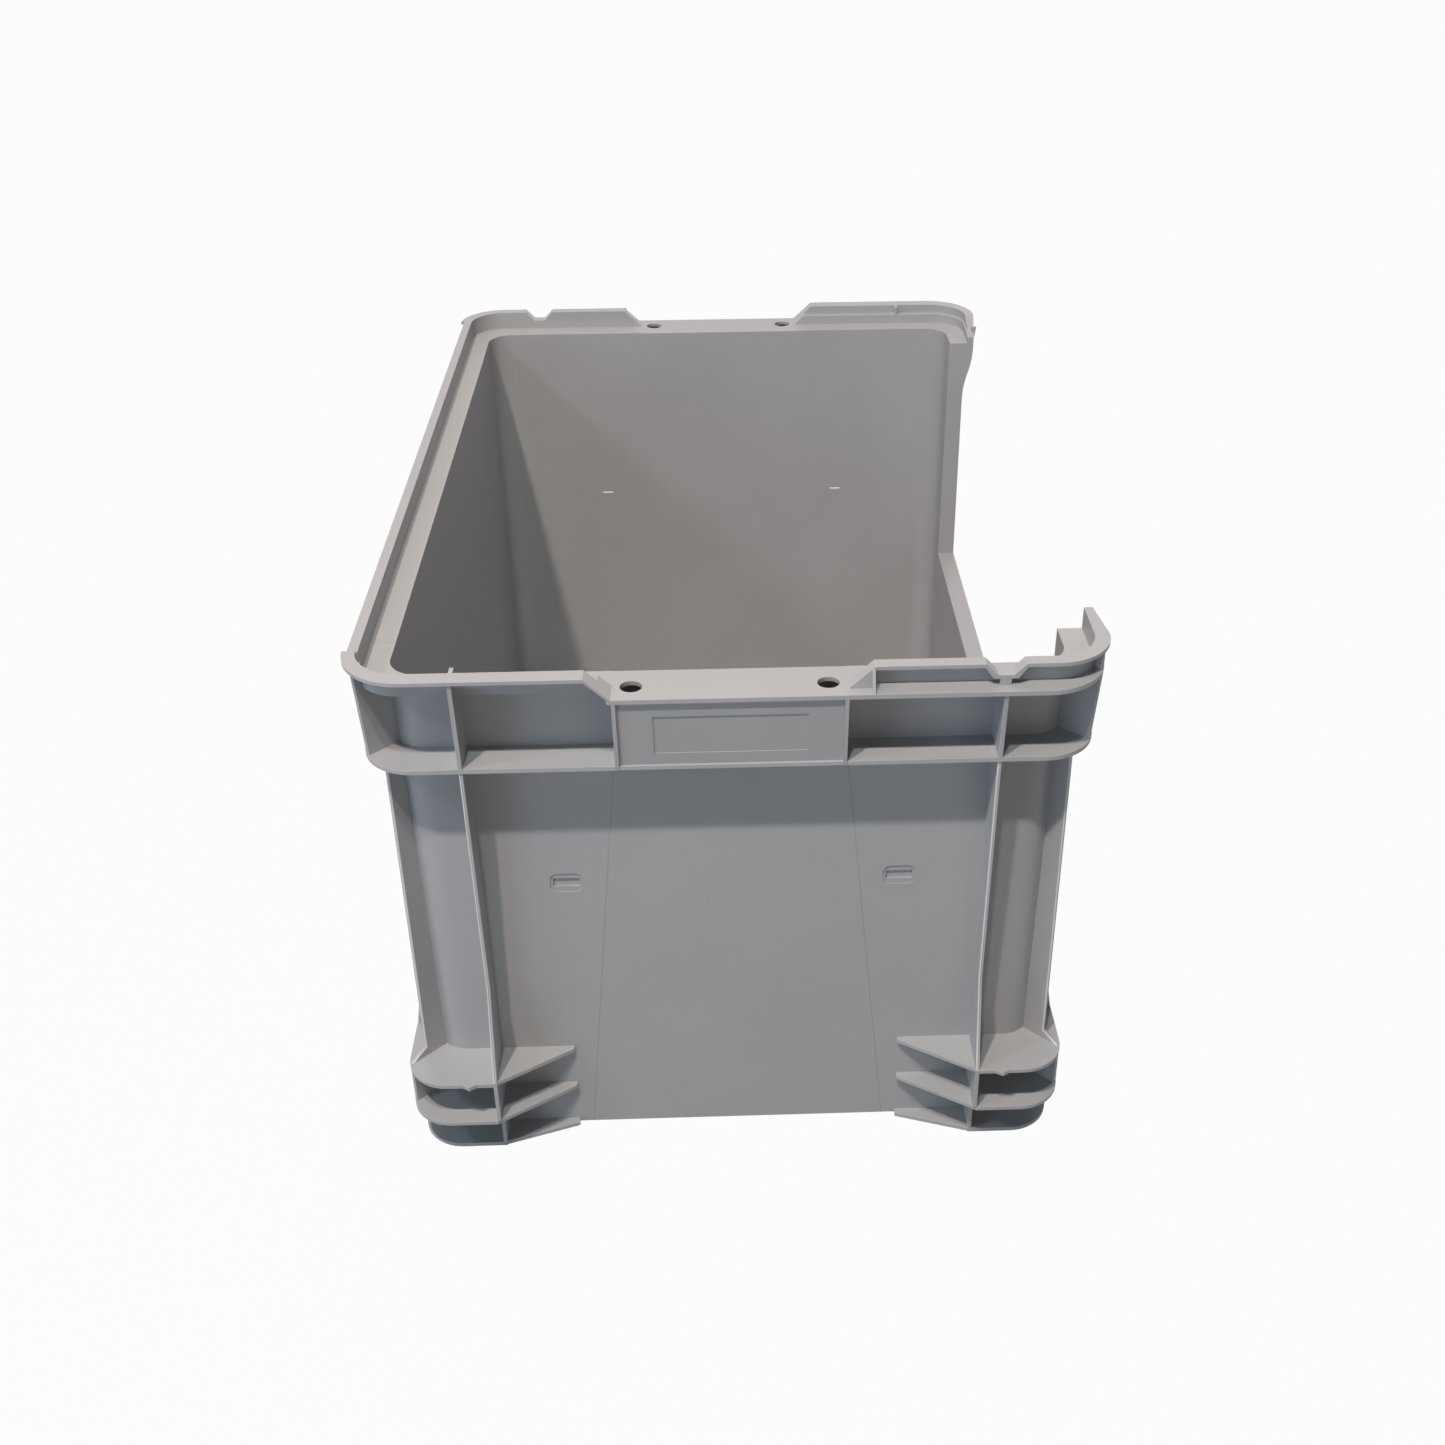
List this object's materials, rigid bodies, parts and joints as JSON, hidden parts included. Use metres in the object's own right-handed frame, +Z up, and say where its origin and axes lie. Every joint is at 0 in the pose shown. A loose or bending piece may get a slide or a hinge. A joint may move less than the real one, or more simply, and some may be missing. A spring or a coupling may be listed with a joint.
{
  "type": "open-fronted stacking crate",
  "caption": "Open-fronted plastic stacking crate: straight walls, picking opening in one long side, stepped stacking lips, shell grips on the ends and flanged corner feet.",
  "frame": {"origin": "middle of the footprint, on the surface that the feet stand on", "axes": "+X along the long side, to the right seen from the picking opening; -Y towards the picking opening; +Z up"},
  "size_m": [0.6008, 0.4, 0.3335],
  "materials": {
    "grey_polypropylene": "satin, fine spark-eroded grain"
  },
  "bodies": {
    "root": {"channel_front_left": "grey_polypropylene", "channel_front_right": "grey_polypropylene", "channel_rear": "grey_polypropylene", "channel_rear_left": "grey_polypropylene", "channel_rear_right": "grey_polypropylene", "corner_rib_front_left": "grey_polypropylene", "corner_rib_front_right": "grey_polypropylene", "corner_rib_rear_left": "grey_polypropylene", "corner_rib_rear_right": "grey_polypropylene", "corner_wall_front_left": "grey_polypropylene", "corner_wall_front_right": "grey_polypropylene", "corner_wall_rear_left": "grey_polypropylene", "corner_wall_rear_right": "grey_polypropylene", "end_rib_front_left": "grey_polypropylene", "end_rib_front_right": "grey_polypropylene", "end_rib_rear_left": "grey_polypropylene", "end_rib_rear_right": "grey_polypropylene", "floor_panel": "grey_polypropylene", "floor_ribs": "grey_polypropylene", "foot_front_left": "grey_polypropylene", "foot_front_right": "grey_polypropylene", "foot_rear_left": "grey_polypropylene", "foot_rear_right": "grey_polypropylene", "front_wall": "grey_polypropylene", "front_wall_left_stub": "grey_polypropylene", "front_wall_right_stub": "grey_polypropylene", "ledge_front_left": "grey_polypropylene", "ledge_front_right": "grey_polypropylene", "ledge_rear": "grey_polypropylene", "ledge_rear_left": "grey_polypropylene", "ledge_rear_right": "grey_polypropylene", "left_end_wall": "grey_polypropylene", "left_handle": "grey_polypropylene", "left_jamb": "grey_polypropylene", "lip_front_left": "grey_polypropylene", "lip_front_right": "grey_polypropylene", "lip_rear": "grey_polypropylene", "lip_rear_left": "grey_polypropylene", "lip_rear_right": "grey_polypropylene", "rear_wall": "grey_polypropylene", "right_end_wall": "grey_polypropylene", "right_handle": "grey_polypropylene", "right_jamb": "grey_polypropylene", "side_rib_front_left": "grey_polypropylene", "side_rib_front_right": "grey_polypropylene", "side_rib_rear_left": "grey_polypropylene", "side_rib_rear_right": "grey_polypropylene", "sill_flange": "grey_polypropylene"}
  },
  "joints": []
}
